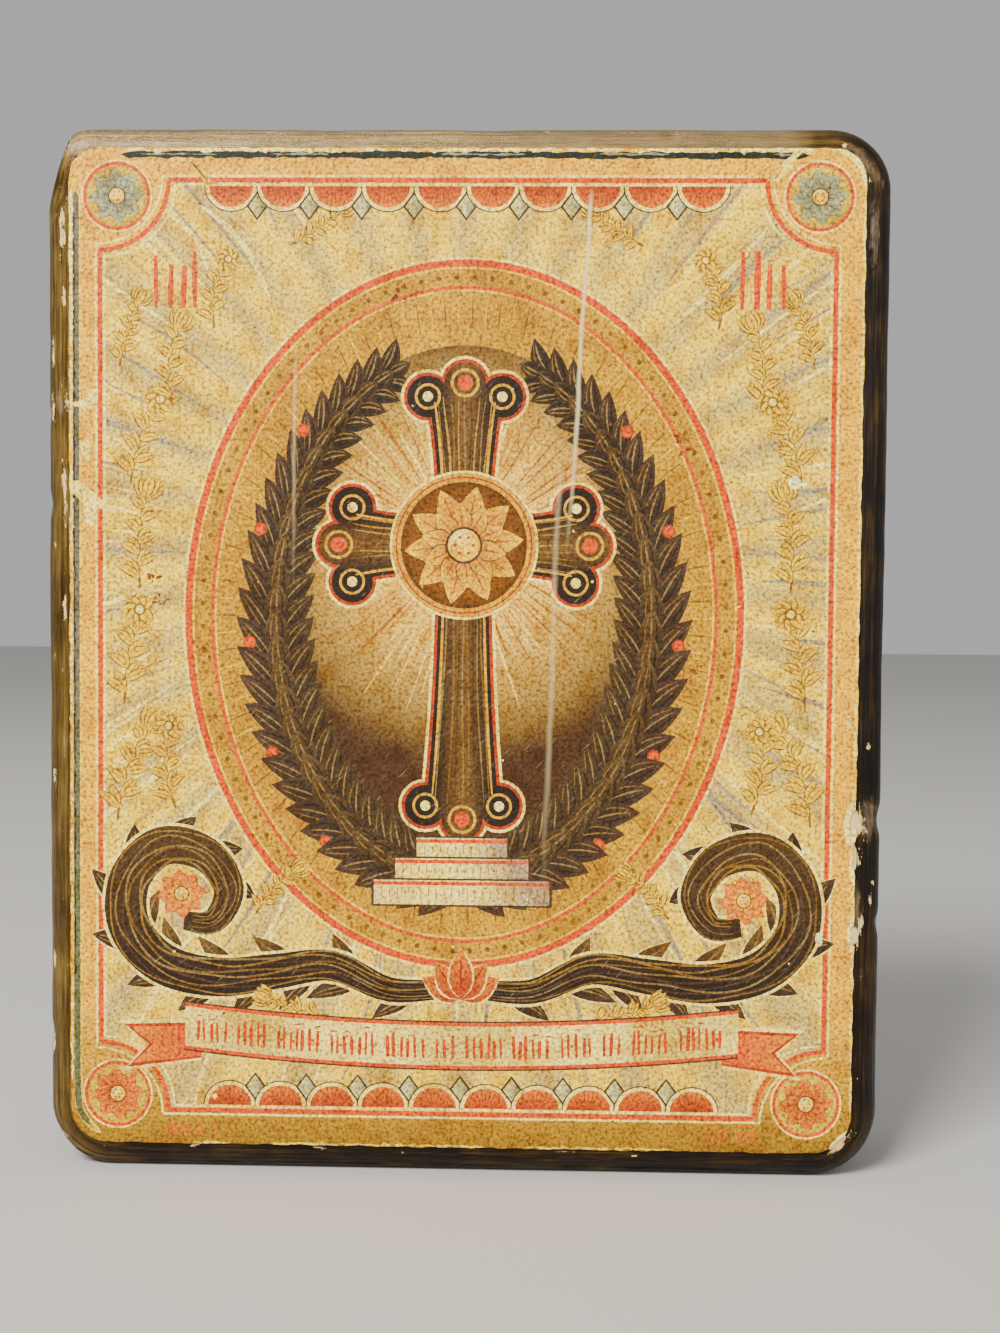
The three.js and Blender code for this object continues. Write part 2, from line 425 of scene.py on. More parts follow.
# %% Bronze paint: bare wood, chips and scrapes
# The paint laps a few ragged millimetres over the back arris; behind, the wood was left bare.
ragged = add(tree, "TexNoise", {"Vector": rim_at, "Scale": 0.16, "Detail": 4.0, "Roughness": 0.6})[0]
far_in = add(tree, "Math", (ragged, 5.0, across_rim["Y"]), operation="MULTIPLY_ADD")[0]
far_in = add(tree, "Math", (far_in, 5.1), operation="GREATER_THAN")[0]
far_back = add(tree, "Math", (across_rim["Z"], 22.0), operation="GREATER_THAN")[0]
bare = add(tree, "Math", (far_in, far_back), operation="MULTIPLY")[0]
at = add(tree, "Mapping", {"Vector": place, "Scale": (420.0, 420.0, 16.0)})[0]
grain = add(tree, "TexNoise", {"Vector": at, "Scale": 1.0, "Detail": 5.0, "Roughness": 0.6})[0]
wood_colour = add(tree, "ValToRGB", (grain,), ((0.3, "#6b4826"), (0.5, "#8f6a41"), (0.7, "#ad8656")))[0]

# A chip's edge breaks along the noise, so it is ragged however coarse the net is.
at = add(tree, "Mapping", {"Vector": rim_at, "Scale": (0.5, 1.4, 1.4)})[0]
crumble = add(tree, "TexNoise", {"Vector": at, "Scale": 1.0, "Detail": 6.0, "Roughness": 0.75})[0]
crumble = add(tree, "Math", (crumble, 4.0, -2.0), operation="MULTIPLY_ADD")[0]
chipped = add(tree, "Math", (wear_and_light["X"], crumble))[0]
chipped = add(tree, "Math", (chipped, 0.36), operation="GREATER_THAN")[0]
scraped = add(tree, "Math", (wear_and_light["Y"], crumble))[0]
scraped = add(tree, "MapRange", (scraped, -0.1, 0.9, 0.0, 0.6))[0]

# Painted glints, light flecks that stand for highlights, sit on the lit sides only; a pale greyish
# painted sheen lies on the top, where the painted light is strongest.
at = add(tree, "Mapping", {"Vector": rim_at, "Scale": (0.5, 2.0, 2.0)})[0]
painted_glints = add(tree, "TexNoise", {"Vector": at, "Scale": 1.0, "Detail": 3.0, "Roughness": 0.7})[0]
painted_glints = add(tree, "Math", (painted_glints, 0.705), operation="GREATER_THAN")[0]
lit_sides = add(tree, "Math", (wear_and_light["Z"], 0.3), operation="GREATER_THAN")[0]
painted_glints = add(tree, "Math", (painted_glints, lit_sides), operation="MULTIPLY")[0]
painted_top_sheen = add(tree, "MapRange", (wear_and_light["Z"], 0.66, 0.92, 0.0, 0.5))[0]
# The veil is a painted sheen of light and the flecks are painted glints; scrapes, chips and bare wood are
# wear.
for share, over in (
    (painted_top_sheen, "#947f5c"), (scraped, "#93795a"), (painted_glints, "#cdb06a"), (chipped, "#f3d68e"),
    (bare, wood_colour),
):
    surface = add(tree, "Mix", {"Factor": share, 6: surface, 7: over}, data_type="RGBA")[2]

# %% Bronze paint: gloss
lost = add(tree, "Math", (chipped, bare))[0]
lost = add(tree, "Math", (lost, scraped))[0]
height = add(tree, "Math", (chipped, -0.8, streaks), operation="MULTIPLY_ADD")[0]
inputs = {
    "Base Color": surface,
    "Metallic": add(tree, "MapRange", (lost, 0.0, 0.6, 0.6, 0.0))[0],
    "Roughness": add(tree, "ValToRGB", (streaks,), ((0.5, 0.26), (0.9, 0.5)))[0],
    "Normal": add(tree, "Bump", {"Strength": 0.7, "Distance": 0.0005, "Height": height})[0],
    "Specular IOR Level": 0.3,
    "Coat Weight": 0.12,
    "Coat Roughness": 0.18,
}
add(tree, "OutputMaterial", (add(tree, "BsdfPrincipled", inputs)[0],))
board_piece.data.materials.append(bronze)
print(bronze.name, len(tree.nodes), "nodes")

# %% [markdown]
# ## The print
#
# A print is colour, not relief: everything on it lies in one plane. It is drawn the way a painter lays
# it out, shape over shape, each with its own washes. A constrained triangulation then turns all the
# outlines into one flat mesh whose edges follow every line, so the drawing stays crisp at any distance,
# and each face's corners carry the colour of the topmost shape there.

# %% Lines and shapes
shapes = []  # (loops of points, wash), the last one drawn lies on top
rng = random.Random(7)


def through(points, steps=5):
    """A smooth line through the points."""
    p = np.array(points, float)
    line = []
    for i in range(len(p) - 1):
        a, b, c, d = p[max(i - 1, 0)], p[i], p[i + 1], p[min(i + 2, len(p) - 1)]
        for t in np.arange(steps) / steps:
            bent = (2 * a - 5 * b + 4 * c - d) * t**2 + (3 * b - a - 3 * c + d) * t**3
            line.append(0.5 * (2 * b + (c - a) * t + bent))
    return np.array(line + [p[-1]])


def circle(x, z, radius, sides=48, tall=None):
    """A circle, or an oval where its half-height is given too."""
    turn = np.linspace(0, 2 * math.pi, sides, endpoint=False)
    return np.stack([x + radius * np.cos(turn), z + (tall or radius) * np.sin(turn)], 1)


def fill(points, wash, *holes):
    shapes.append(([np.asarray(points, float), *(np.asarray(h, float)[::-1] for h in holes)], wash))


def sideways(line):
    """The direction across a line, at each of its points."""
    along = np.gradient(line, axis=0)
    along /= np.maximum(np.linalg.norm(along, axis=1), 1e-9)[:, None]
    return np.stack([-along[:, 1], along[:, 0]], 1)


def stroke(line, width, wash, ends=0.15):
    """A brush stroke: as wide as asked in its middle, narrowing to a share of that at both ends."""
    line = np.asarray(line, float)
    t = np.linspace(-1, 1, len(line))
    half = sideways(line) * (width / 2 * (ends + (1 - ends) * np.sqrt(1 - t * t)))[:, None]
    fill(np.vstack([line + half, (line - half)[::-1]]), wash)


def ring(x, z, radius, width, wash, sides=48):
    fill(circle(x, z, radius + width / 2, sides), wash, circle(x, z, radius - width / 2, sides))


def at_angle(angle, radius, x, z):
    return x + radius * math.cos(angle), z + radius * math.sin(angle)


# %% Washes: what colour a shape has at each point
def flat(code):
    tint = np.array(linear(code))
    return lambda x, z: np.broadcast_to(tint, (len(x), 3))


def blend(code_a, code_b, share):
    """From one colour to another, by a share worked out from the place."""
    a, b = np.array(linear(code_a)), np.array(linear(code_b))
    return lambda x, z: a + (b - a) * np.clip(share(x, z), 0, 1)[:, None]


def away(x0, z0, start, reach):
    """A share that grows with the distance from a point."""
    return lambda x, z: (np.hypot(x - x0, z - z0) - start) / reach


CREAM, PALE, OCHRE = "#f9da88", "#fff0bd", "#efb53e"
GOLD, GOLD_DARK, GOLD_LIGHT = "#b08026", "#80591c", "#cc9c36"
CORAL, CORAL_DARK, PINK = "#d8431f", "#b03520", "#e68a60"
DARK, BROWN, TAN = "#261c1e", "#473637", "#84705e"
BLUE, LILAC, SLATE, NAVY = "#98929b", "#ab98a0", "#68727c", "#20282d"
OLIVE, LINE, INLAY = "#86642a", "#8f6622", "#d3a24a"

# %% [markdown]
# The ground comes first. Its middle is a fluted shell of cream and grey folds fanning out from the
# medallion; round it runs an ochre margin, browner below. The sheet's own outline wavers by a tenth of
# a millimetre, as torn and trimmed paper does.


# %% Sheet outline
def rounded(left, foot, right, top, radii, steps=14):
    """A rounded oblong, corner by corner from the lower left, with points along its sides too."""
    corners = ((left, foot, 180), (right, foot, 270), (right, top, 0), (left, top, 90))
    loop = []
    for (x, z, start), r in zip(corners, radii):
        cx = x + r * (1 if x == left else -1)
        cz = z + r * (1 if z == foot else -1)
        turn = np.radians(np.linspace(start, start + 90, steps))
        loop += list(zip(cx + r * np.cos(turn), cz + r * np.sin(turn)))
    dense = []
    for a, b in zip(loop, loop[1:] + loop[:1]):
        count = max(1, int(math.dist(a, b) / 0.7))
        dense += [tuple(np.add(a, np.subtract(b, a) * k / count)) for k in range(count)]
    return np.array(dense)


def wavered(loop, reach, size, seed):
    """The same outline, trembling by up to reach, along both axes."""
    moved = []
    for x, z in loop:
        p = Vector((x * size, z * size, seed))
        moved.append((x + reach * noise.noise(p), z + reach * noise.noise(p + Vector((0, 0, 9)))))
    return np.array(moved)


SHEET_RADII = (6, 6.2, 4.8, 4.5)
TRIM = 0.12  # the drawn outline lies this far inside the solid's, to leave room for its trembling
outline = rounded(sheet_left + TRIM, sheet_foot + TRIM, sheet_right - TRIM, sheet_top - TRIM, SHEET_RADII)
outline = wavered(outline, 0.22, 0.6, 3)

# %% Fluted field and margin
FIELD_X, FIELD_LOW, FIELD_HIGH, NOTCH = 56.2, 9.6, 153.4, 10.6
MIDDLE_Z, OVAL_X, OVAL_Z = 87.0, 42.5, 54.0
CROSS_Z = 98.0


def notched(grow=0.0):
    """The field's outline: an oblong whose corners are bitten away in quarter circles."""
    loop = []
    low, high, side, bite = FIELD_LOW - grow, FIELD_HIGH + grow, FIELD_X + grow, NOTCH - grow * 0.4
    for x, z, start in ((-side, low, 90), (side, low, 180), (side, high, 270), (-side, high, 0)):
        turn = np.radians(np.linspace(start, start - 90, 14))
        loop += list(zip(x + bite * np.cos(turn), z + bite * np.sin(turn)))
    return np.array(loop)


def flutes(x, z):
    angle = np.arctan2(z - CROSS_Z, x)
    wobble = 0.5 * np.sin(5 * angle + 1) + 0.35 * np.sin(11 * angle)
    return 0.26 + 0.36 * np.cos(40 * angle + wobble)


fill(outline, blend(CREAM, BLUE, flutes))
RAYS = 170
for k in range(RAYS):
    angle = 2 * math.pi * (k + rng.uniform(-0.3, 0.3)) / RAYS
    edge = 1 / math.hypot(math.cos(angle) / OVAL_X, math.sin(angle) / OVAL_Z)
    start, length = edge * rng.uniform(0.95, 1.2), rng.uniform(12, 55)
    bend = rng.uniform(-0.04, 0.04)
    line = [
        at_angle(angle + bend * math.sin(3 * t), start + length * t, 0, CROSS_Z)
        for t in np.linspace(0, 1, 7)
    ]
    tint = rng.choice((BLUE, "#a39c9c", LILAC, PALE, PALE, "#d9b878", "#c4b294", "#f8e2a0"))
    stroke(line, rng.uniform(0.25, 0.9), flat(tint))
margin = blend(OCHRE, OLIVE, lambda x, z: (28 - z) / 26 + 0.25 * np.clip((z - 140) / 20, 0, 1))
fill(rounded(sheet_left - 2, sheet_foot - 2, sheet_right + 2, sheet_top + 2, SHEET_RADII), margin, notched())
for grow, width, tint in ((-0.65, 0.35, PALE), (0.0, 0.7, CORAL), (0.65, 0.35, PALE)):
    closed = np.vstack([notched(grow), notched(grow)[:1]])
    for a, b in zip(closed[:-1], closed[1:]):
        stroke([a, (a + b) / 2, b], width, flat(tint), ends=1)

# %% [markdown]
# The medallion is an oval of gold with a coral rim between two hairlines, as a gilder rules it: an inner
# rule, a row of punched dots, and fine rays scratched outwards. Inside it lies a warm glow that darkens
# outwards, painted in thin washes.


# %% Gold oval and glow
def mottle(x, z):
    return np.array([0.5 + 0.6 * noise.noise(Vector((a * 0.1, b * 0.1, 5))) for a, b in zip(x, z)])


def oval(grow):
    return circle(0, MIDDLE_Z, OVAL_X + grow, 110, OVAL_Z + grow)


def on_oval(angle, share, less=0):
    """A point at a share of the way out to the oval's edge, or a fixed way less than that."""
    return (
        (OVAL_X - less) * share * math.cos(angle),
        MIDDLE_Z + (OVAL_Z - less) * share * math.sin(angle),
    )


fill(oval(0), blend(GOLD, GOLD_LIGHT, mottle))
GILT_RAYS, DOTS, GLOW_RAYS = 110, 92, 96
for k in range(GILT_RAYS):
    ray = [on_oval(2 * math.pi * k / GILT_RAYS, t) for t in (0.8, 0.86, 0.905)]
    stroke(ray, 0.26, flat(GOLD_DARK if k % 2 else "#e3b860"))
for grow, width, tint in (
    (0, 1.0, CORAL), (0.75, 0.35, PALE), (-0.75, 0.3, "#f0cf84"),
    (-3.7, 0.45, CORAL), (-4.2, 0.25, "#f0cf84"),
):
    fill(oval(grow + width / 2), flat(tint), oval(grow - width / 2))
for k in range(DOTS):
    fill(circle(*on_oval(2 * math.pi * (k + 0.5) / DOTS, 1, 2.2), 0.4, 8), flat("#7a5620"))
fill(circle(0, MIDDLE_Z, 30, 90, 41.5), blend("#f2ca98", "#452e29", away(0, CROSS_Z, 10, 23)))
for k in range(GLOW_RAYS):
    angle = 2 * math.pi * (k + rng.uniform(-0.2, 0.2)) / GLOW_RAYS
    line = [at_angle(angle, r, 0, CROSS_Z) for r in np.linspace(11, rng.uniform(18, 28), 5)]
    stroke(line, rng.uniform(0.2, 0.5), flat(rng.choice(("#f3cf8c", "#c98f5a", "#a8714a", "#f8e0a6"))))


# %% [markdown]
# Leaves make up most of the dark masses. One leaf is a closed curve round a bent midrib; its wash goes
# from a dark base to a lighter tip, and a few thin strokes along it give the veins. Two laurel branches
# of them rise from the foot of the medallion. The tips are drawn first, so each leaf laps the next.


# %% A leaf, and the two branches
def leaf(base, tip, width, bend, wash, veins=(), steps=7, edge=None):
    """A leaf from base to tip; an edge says how much wider the leaf under it is, and its colour."""
    if edge:
        leaf(base, tip, width + edge[0], bend, flat(edge[1]), steps=steps)
    base, tip = np.array(base, float), np.array(tip, float)
    axis = tip - base
    side = np.array([-axis[1], axis[0]]) / max(np.linalg.norm(axis), 1e-9)
    t = np.linspace(0, 1, steps)
    spine = base + axis * t[:, None] + side * (bend * np.sin(math.pi * t))[:, None]
    half = (width / 2 * np.sin(math.pi * t**0.8) ** 0.9)[:, None]
    fill(np.vstack([spine + side * half, (spine - side * half)[-2:0:-1]]), wash)
    for share, tint, thick in veins:
        stroke(spine[1:-1] + side * half[1:-1] * share, thick, flat(tint))


VEINS = ((0, TAN, 0.28), (0.5, "#7b614b", 0.22))  # where across the leaf, colour, width


def branch_point(angle, out):
    return np.array([(29 + out) * math.cos(angle), MIDDLE_Z + (40.5 + out) * math.sin(angle)])


for side in (1, -1):
    mirror = np.array([side, 1])
    stem = np.array([branch_point(math.radians(a), 0) for a in np.linspace(-92, 66, 60)]) * mirror
    stroke(stem, 4.6, flat(DARK), ends=0.3)
    for k in range(27, -1, -1):
        angle = math.radians(-88 + 5.7 * k)
        scale = 1.0 - 0.35 * (k / 27) ** 2
        for out, reach, shade in ((1, 6.8, BROWN), (-1, 6.6, "#463730"), (0, 1.2, "#5f4b3f")):
            base = branch_point(angle - 0.03 * abs(out), out * 0.7) * mirror
            tip = branch_point(angle + (0.155 if out else 0.2) * scale, out * reach * scale) * mirror
            leaf(
                base, tip, 4.3 * scale, 0.5 * out * side,
                blend(DARK, shade, away(*base, 1, 6)),
                (*VEINS, (-0.5, "#241a15", 0.25)),
            )
        if k % 4 == 2 and k < 26:
            berry = branch_point(angle + 0.05, 4.6 * scale) * mirror
            fill(circle(*berry, 1.0, 16), flat(CORAL_DARK))
            fill(circle(*berry, 0.75, 14), blend(PINK, CORAL, away(*berry, -0.2, 0.9)))

# %% [markdown]
# The cross has flared arms with three lobes at each end. Laying the same shape three times, each a
# little smaller, gives its cream outline, its coral edge and its dark body; gold rules line it.


# %% Cross
def on_arm(angle, forth, aside):
    """A point so far out along an arm of the cross, and so far to its side."""
    ax, az = math.cos(angle), math.sin(angle)
    return ax * forth - az * aside, CROSS_Z + az * forth + ax * aside


def arm(angle, length, narrow, wide, grow, wash, lobe=3.2):
    """One arm of the cross, from its middle outwards, with three lobes at its end."""
    t = np.linspace(0, 1, 9)
    half = narrow / 2 + (wide - narrow) / 2 * t**2.2 + grow
    sides = [np.stack(on_arm(angle, t * length, way * half), 1) for way in (-1, 1)]
    fill(np.vstack([sides[0], sides[1][::-1]]), wash)
    corner = length - lobe * 0.1
    for forth, aside in ((length + lobe * 0.55, 0), (corner, wide / 2), (corner, -wide / 2)):
        fill(circle(*on_arm(angle, forth, aside), lobe + grow, 24), wash)


ARMS = ((math.pi / 2, 23), (0, 17.5), (math.pi, 17.5), (-math.pi / 2, 40.5))
NARROW, WIDE = 7.6, 11.4
body_wash = blend(DARK, "#6b5040", lambda x, z: 1.05 - np.minimum(np.abs(x), np.abs(z - CROSS_Z)) / 3.8)
for grow, wash in ((0.95, flat(PALE)), (0.5, flat(CORAL_DARK)), (0.0, body_wash)):
    for angle, length in ARMS:
        arm(angle, length, NARROW, WIDE, grow, wash)
for angle, length in ARMS:
    for aside in np.arange(-2.6, 2.7, 0.65):
        line = [
            on_arm(angle, length * t, aside * (1 + 0.7 * t**2.2) + 0.12 * math.sin(9 * t + aside * 3))
            for t in np.linspace(0.18, 0.99, 9)
        ]
        stroke(line, rng.uniform(0.18, 0.34), flat(rng.choice((TAN, "#7d6149", "#4d392b", "#ad8c62"))))
    for side in (-1, 1):
        t = np.linspace(0.12, 0.95, 10)
        rule = np.stack(on_arm(angle, length * t, side * (3.1 + 1.7 * t**2.2)), 1)
        stroke(rule, 0.42, flat(INLAY), ends=0.5)
        lobe = on_arm(angle, length - 0.3, WIDE / 2 * side)
        ring(*lobe, 1.8, 0.4, flat(INLAY), 28)
        fill(circle(*lobe, 0.8, 12), flat(PALE))
    ring(*on_arm(angle, length + 1.8, 0), 2.0, 0.45, flat(INLAY), 32)
    fill(circle(*on_arm(angle, length + 1.8, 0), 1.2, 16), flat(CORAL))


# %% A rosette, for the crossing and the corners
def rosette(x, z, radius, petals, outer, inner, heart):
    """A flower of pointed petals in two rows round a domed heart."""
    for row, reach in ((0, 1.0), (1, 0.72)):
        for k in range(petals):
            angle = 2 * math.pi * (k + row / 2) / petals + 0.1
            base, tip = at_angle(angle, radius * 0.18, x, z), at_angle(angle, radius * reach, x, z)
            wash = blend(inner, outer, away(x, z, radius * (0.3 - 0.1 * row), radius * 0.6 * reach))
            wide = 4.6 * reach * radius / petals
            leaf(base, tip, wide, 0, wash, ((0, inner, radius * 0.03),), edge=(wide * 0.12, BROWN))
    fill(circle(x, z, radius * 0.31, 24), flat(BROWN))
    dome = away(x - radius * 0.08, z + radius * 0.1, 0, radius * 0.4)
    fill(circle(x, z, radius * 0.27, 24), blend(heart, OCHRE, dome))
    for k in range(6):
        fill(circle(*at_angle(k * math.pi / 3, radius * 0.15, x, z), radius * 0.03, 8), flat(CORAL_DARK))


ring(0, CROSS_Z, 10.4, 1.4, flat(INLAY), 72)
ring(0, CROSS_Z, 11.25, 0.35, flat(PALE), 72)
ring(0, CROSS_Z, 10.4, 0.25, flat(CORAL_DARK), 72)
fill(circle(0, CROSS_Z, 9.7, 60), blend("#9c6240", "#5b3a2c", away(0, CROSS_Z, 4, 6)))
rosette(0, CROSS_Z, 9.2, 10, "#f0c27c", "#b5643f", PALE)
for side in (-1, 1):
    for high, petal, inner in ((151.0, "#a5aaa6", SLATE), (12.0, PINK, CORAL_DARK)):
        x, z = side * 53.6, high
        tray = blend("#f4e0a0", "#c9a968", away(x, z, 0, 5))
        for radius, wash in ((5.5, flat(PALE)), (5.2, flat(CORAL)), (4.7, tray)):
            fill(circle(x, z, radius, 40), wash)
        rosette(x, z, 4.3, 8, petal, inner, PALE)

# %% [markdown]
# The cross stands on three steps. Below the medallion two dark scrolls roll outwards: a scroll is a
# spiral line through a dozen points, broad in its middle, with lighter strands laid along it and
# leaves along its back.

# %% Steps and scrolls
for half, foot, head in ((7.0, 49.6, 52.8), (10.3, 46.2, 49.6), (13.6, 42.4, 46.2)):
    tread = blend(PALE, LILAC, lambda x, z, h=half: np.abs(x / h + 0.35) ** 2 * 0.8)
    for more, rise, wash in ((0.4, 0.3, flat(BROWN)), (0, 0, tread)):
        wide, low, high = half + more, foot - rise, head + rise
        fill([(-wide, low), (wide, low), (wide, high), (-wide, high)], wash)
    stroke([(-half, head - 0.5), (0, head - 0.5), (half, head - 0.5)], 0.55, flat(CORAL), ends=1)
    for x in np.arange(-half + 1.2, half - 0.4, 1.2):
        stroke([(x, foot + 0.5), (x + 0.1, (foot + head) / 2), (x, head - 1.1)], 0.22, flat("#a58358"))

SPIRAL = (
    (1.5, 29.4), (11, 29.0), (20, 32.6), (29, 31.6), (38, 30.6), (46.5, 32.6), (51.8, 38.5),
    (51.6, 46.0), (46.6, 51.0), (39.8, 49.8), (36.2, 44.4), (38.6, 39.4), (43.2, 39.4),
)
for side in (-1, 1):
    line = through(SPIRAL, 6) * (side, 1)
    t = np.linspace(0, 1, len(line))
    body = 6.6 * (0.3 + 0.7 * np.sin(math.pi * np.clip(t * 0.88 + 0.06, 0, 1)))
    across = sideways(line) * side
    for k in range(len(line) - 14, 3, -5):
        base = line[k] - across[k] * body[k] * 0.3
        tip = base - across[k] * (4.6 if k < 40 else 3.6) + line[k + 4] - line[k]
        wash = blend(DARK, BROWN, away(*base, 1, 5))
        leaf(base, tip, 2.8, 0.5 * side, wash, VEINS, edge=(0.6, PALE))
    for k in range(34, 8, -6):
        base = line[k] + across[k] * body[k] * 0.3
        tip = base + across[k] * 4.4 + (line[k + 4] - line[k]) * 0.9
        wash = blend(DARK, "#6a5140", away(*base, 1, 5))
        leaf(base, tip, 2.6, -0.5 * side, wash, VEINS[:1], edge=(0.6, PALE))
    for grow, wash in ((0.45, flat(PALE)), (0, blend(DARK, "#4d392c", lambda x, z: (z - 30) / 25))):
        half = (body / 2 + grow)[:, None]
        fill(np.vstack([line + across * half, (line - across * half)[::-1]]), wash)
    for share in (-0.82, -0.6, -0.4, -0.2, 0.0, 0.2, 0.4, 0.62, 0.84):
        wave = 0.1 * np.sin(t * 40 + share * 9)
        strand = line + across * (body / 2 * (share + wave))[:, None]
        width = rng.uniform(0.2, 0.42)
        stroke(strand[2:-2], width, flat(rng.choice((TAN, BROWN, "#745a45", "#8a6d50"))), ends=0.3)
    rosette(side * 43.6, 43.6, 3.9, 8, "#e06a4c", "#f4bc88", PALE)
for angle in (150, 30, 125, 55, 90):
    tip = at_angle(math.radians(angle), 8.2 if angle == 90 else 7.0, 0, 27.6)
    wash = blend(CORAL_DARK, PINK, away(0, 27.6, 2, 6))
    leaf((0, 27.6), tip, 3.6, 0, wash, ((0, "#8e2f22", 0.3),), edge=(0.7, PALE))

# %% [markdown]
# Gold-line flowers fill the pale ground at both sides and below. They are a common border pattern:
# a curved stem, paired leaves, a tulip or a round bloom, drawn as outlines over a faint tint.


# %% Gold-line flowers
def outlined(base, tip, width, bend):
    leaf(base, tip, width, bend, flat("#ecc974"), edge=(0.5, LINE))
    leaf(base, tip, width * 0.2, bend, flat("#bd9038"), steps=5)


def spray(x, z, angle, size, bloom, curl):
    """A stem of a given size from its foot, with leaves at both sides and a flower at its head."""
    stem = []
    heading = angle
    point = np.array([x, z], float)
    for k in range(9):
        stem.append(tuple(point))
        point = point + size / 8 * np.array([math.cos(heading), math.sin(heading)])
        heading += curl / 8
    stroke(through(stem, steps=3), 0.5, flat(LINE), ends=0.5)
    for k in range(1, 8):
        turn = angle + curl * k / 8
        side = 1 if k % 2 else -1
        reach = size * (0.3 - 0.014 * k)
        for spread in (0.55, 1.05):
            tip = at_angle(turn + side * spread, reach, *stem[k])
            outlined(stem[k], tip, size * 0.08, -side * size * 0.02)
    head = stem[-1]
    if bloom == "tulip":
        for spread in (-0.6, 0.6, -0.3, 0.3, 0.0):
            outlined(head, at_angle(heading + spread, size * 0.3, *head), size * 0.11, spread * size * 0.03)
    else:
        for k in range(8):
            outlined(head, at_angle(2 * math.pi * k / 8, size * 0.2, *head), size * 0.12, 0)
        fill(circle(*head, size * 0.065, 14), flat(LINE))
        fill(circle(*head, size * 0.042, 12), flat(PALE))


up = math.pi / 2
SPRAYS = (  # foot across and up, heading, size, bloom, and how much the stem curls
    (53.6, 55, up + 0.1, 15, "tulip", 0.5), (44.5, 57, up - 0.35, 13, "round", 0.6),
    (52.5, 73, up + 0.05, 15, "round", 0.25), (50, 91, up - 0.1, 14, "tulip", 0.35),
    (51.5, 107, up + 0.12, 14, "round", 0.5), (45, 119, up - 0.2, 12, "tulip", 0.6),
    (53.2, 125, up + 0.15, 10, "tulip", 0.3), (38.5, 131, up - 0.2, 11, "round", 0.9),
    (27, 143.5, math.pi - 0.5, 9, "tulip", -0.2), (32, 40.5, up + 0.5, 9, "tulip", 0.5),
    (20, 24.6, 0.12, 10, "tulip", 0.3),
)
for side in (-1, 1):
    for x, z, angle, size, bloom, curl in SPRAYS:
        spray(side * x, z, angle if side > 0 else math.pi - angle, size, bloom, curl * side)

# %% [markdown]
# A banner carries what would be writing. Here it is only rows of upright strokes, dots and bars in
# groups, with no letter among them. Coral scallops with small grey diamonds close the field below and
# hang from it above.

# %% Banner
BANNER_HALF, BANNER_TALL = 43, 6.2


def banner_foot(x):
    return 17.2 + 0.0014 * np.asarray(x, float) ** 2


xs = np.linspace(-BANNER_HALF, BANNER_HALF, 45)
for side in (-1, 1):
    x0, z0 = side * 40.5, banner_foot(41) - 1.7
    tail = [
        (x0 + side * forth, z0 + high)
        for forth, high in ((0, 0), (11.5, -1.6), (8.2, 2.0), (12, 5.2), (0, 5.6))
    ]
    fill([(x0 + (x - x0) * 1.07, z0 + 2 + (z - z0 - 2) * 1.18) for x, z in tail], flat(PALE))
    fill(tail, flat(CORAL_DARK))
    inner = [(x0 + (x - x0) * 0.92, z0 + 2.4 + (z - z0 - 2.4) * 0.84) for x, z in tail]
    fill(inner, blend(CORAL, PINK, lambda x, z: (np.abs(x) - 42) / 8))
cloth = blend(PALE, "#cdb681", lambda x, z: 0.35 + 0.4 * np.cos(x * 0.19))
for grow, wash in ((0.8, flat(BROWN)), (0.55, flat(CORAL)), (0.0, cloth)):
    low = np.stack([xs, banner_foot(xs) - grow], 1)
    high = np.stack([xs, banner_foot(xs) + BANNER_TALL + grow], 1)
    fill(np.vstack([low, high[::-1]]), wash)


def strokes_row(start, end, foot, tall, tint, gap=1.05, thick=0.53):
    """Groups of upright strokes with a dot or a bar here and there; none of them is a letter."""
    x = start
    while x < end:
        for _ in range(rng.randint(3, 7)):
            if x >= end:
                break
            z = float(foot(x))
            high = tall * rng.uniform(0.72, 1.0)
            slant = rng.uniform(-0.18, 0.18)
            wide = thick * rng.uniform(0.75, 1.25)
            stroke([(x, z), (x + slant / 2, z + high / 2), (x + slant, z + high)], wide, flat(tint), ends=0.7)
            if rng.random() < 0.25:
                bar = [(x - 0.4, z + high + 0.5), (x + 0.3, z + high + 0.7), (x + 0.9, z + high + 0.5)]
                stroke(bar, 0.3, flat(tint))
            elif rng.random() < 0.2:
                fill(circle(x + 0.5, z + high * 0.5, 0.27, 8), flat(tint))
            x += gap * rng.uniform(0.8, 1.2)
        x += gap * 1.1


strokes_row(-41, 41, lambda x: banner_foot(x) + 1.1, 3.8, "#c4432f")
for x in (-47.5, 42.0):
    strokes_row(x, x + 6.6, lambda _: 134.0, 9.0, CORAL, gap=2.0, thick=0.95)
for x in (-45.6, 38.6):
    strokes_row(x, x + 7.6, lambda _: 5.6, 2.2, "#c8663e", gap=0.9)

# %% Scallops and diamonds
for x in np.arange(-36, 36.1, 8):
    for base, way in ((FIELD_LOW + 0.9, 1), (FIELD_HIGH - 0.9, -1)):
        turn = np.linspace(0, math.pi, 15)
        coral = blend(CORAL_DARK, PINK, lambda a, b, base=base: np.abs(b - base) / 4.2)
        for wide, tall, wash in ((4.17, 3.95, flat(BROWN)), (3.97, 3.75, flat(PALE)), (3.4, 3.2, coral)):
            fill(np.stack([x + wide * np.cos(turn), base + way * tall * np.sin(turn)], 1), wash)
        for k in range(-3, 4):
            rib = [(x + k * 0.25, base + way * 0.2), (x + k * 0.75, base + way * (2.9 - 0.12 * k * k))]
            stroke(rib, 0.2, flat("#a23c2e"), ends=0.6)
        if x < 36:
            m, mid = x + 4, base + way * 3.0
            grey = blend("#c9cbb4", SLATE, lambda a, b, m=m: (a - m) / 1.4)
            for wide, tall, wash in ((1.7, 2.2, flat(BROWN)), (1.3, 1.75, grey)):
                fill([(m - wide, mid), (m, mid - tall), (m + wide, mid), (m, mid + tall)], wash)
